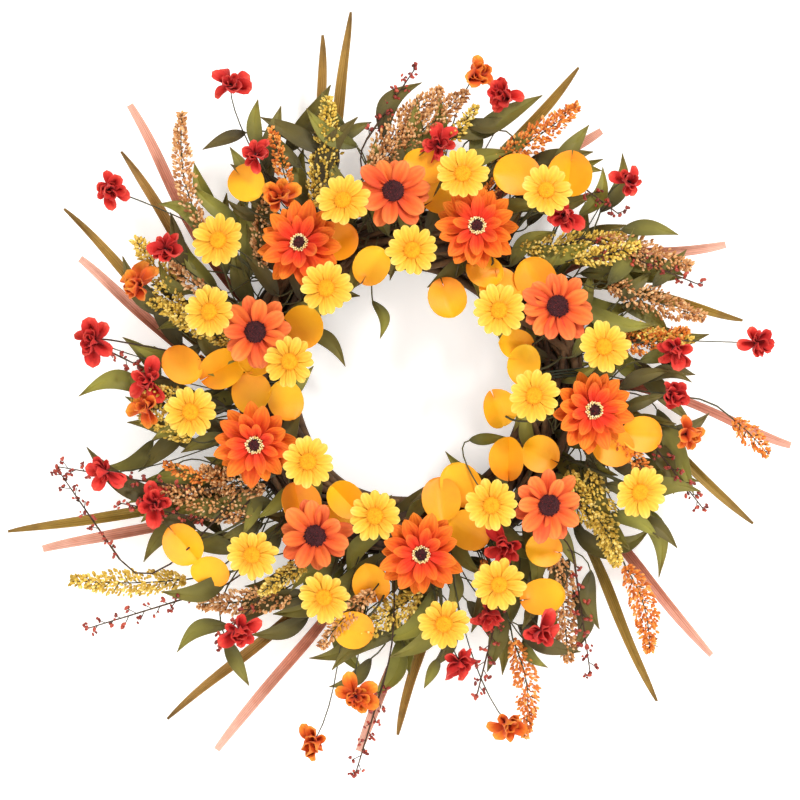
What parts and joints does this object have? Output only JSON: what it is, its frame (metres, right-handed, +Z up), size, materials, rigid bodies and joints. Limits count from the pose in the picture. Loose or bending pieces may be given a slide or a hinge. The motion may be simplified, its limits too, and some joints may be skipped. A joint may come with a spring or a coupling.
{
  "type": "harvest door wreath",
  "caption": "Door wreath of cloth blooms, leaves, grasses and seed sprays wired into a bound vine ring, with a wire hanger loop at the top of its back.",
  "frame": {"origin": "seat of the door hook, inside the top of the hanger loop", "axes": "+Z up, -Y out of the front where the blooms face, +Y into the door, +X to the right seen from the front"},
  "size_m": [0.6047, 0.0924, 0.5956],
  "materials": {
    "vine": "rough dry bark",
    "wire": "dull olive green paint",
    "daisy_petals": "matt dyed cloth, butter yellow",
    "gerbera_petals": "matt dyed cloth, warm orange",
    "zinnia_petals": "matt dyed cloth, flame orange",
    "grass_blades": "stiffened cloth, olive to dusty pink",
    "golden_leaves": "satin stiffened cloth, golden yellow",
    "green_foliage": "matt stiffened cloth and seed grains, olive green",
    "red_blossoms": "matt dyed cloth, deep red"
  },
  "bodies": {
    "hanger": {"hanger_loop": "wire"},
    "wreath": {"vine_ring": "vine", "binding_wire_1": "wire", "binding_wire_2": "wire", "hanger_anchor": "wire", "daisy_01": "daisy_petals", "daisy_02": "daisy_petals", "daisy_03": "daisy_petals", "daisy_04": "daisy_petals", "daisy_05": "daisy_petals", "daisy_06": "daisy_petals", "daisy_07": "daisy_petals", "daisy_08": "daisy_petals", "daisy_09": "daisy_petals", "daisy_10": "daisy_petals", "daisy_11": "daisy_petals", "daisy_12": "daisy_petals", "daisy_13": "daisy_petals", "daisy_14": "daisy_petals", "daisy_15": "daisy_petals", "daisy_16": "daisy_petals", "daisy_17": "daisy_petals", "daisy_18": "daisy_petals", "daisy_19": "daisy_petals", "daisy_20": "daisy_petals", "gerbera_1": "gerbera_petals", "gerbera_2": "gerbera_petals", "gerbera_3": "gerbera_petals", "gerbera_4": "gerbera_petals", "gerbera_5": "gerbera_petals", "zinnia_1": "zinnia_petals", "zinnia_2": "zinnia_petals", "zinnia_3": "zinnia_petals", "zinnia_4": "zinnia_petals", "zinnia_5": "zinnia_petals", "grass_pair_01": "grass_blades", "grass_pair_02": "grass_blades", "grass_pair_03": "grass_blades", "grass_pair_04": "grass_blades", "grass_pair_05": "grass_blades", "grass_pair_06": "grass_blades", "grass_pair_07": "grass_blades", "grass_pair_08": "grass_blades", "grass_pair_09": "grass_blades", "grass_pair_10": "grass_blades", "golden_spray_1": "golden_leaves", "golden_spray_2": "golden_leaves", "golden_spray_3": "golden_leaves", "golden_spray_4": "golden_leaves", "golden_spray_5": "golden_leaves", "foliage_spray_1": "green_foliage", "foliage_spray_2": "green_foliage", "foliage_spray_3": "green_foliage", "foliage_spray_4": "green_foliage", "foliage_spray_5": "green_foliage", "blossom_spray_1": "red_blossoms", "blossom_spray_2": "red_blossoms", "blossom_spray_3": "red_blossoms", "blossom_spray_4": "red_blossoms", "blossom_spray_5": "red_blossoms"}
  },
  "joints": [
    {"name": "wreath_swing", "type": "hinge", "parent": "hanger", "child": "wreath", "pos_m": [0, 0, -0.031], "axis": [-1, 0, 0], "range_deg": [0, 60]}
  ]
}
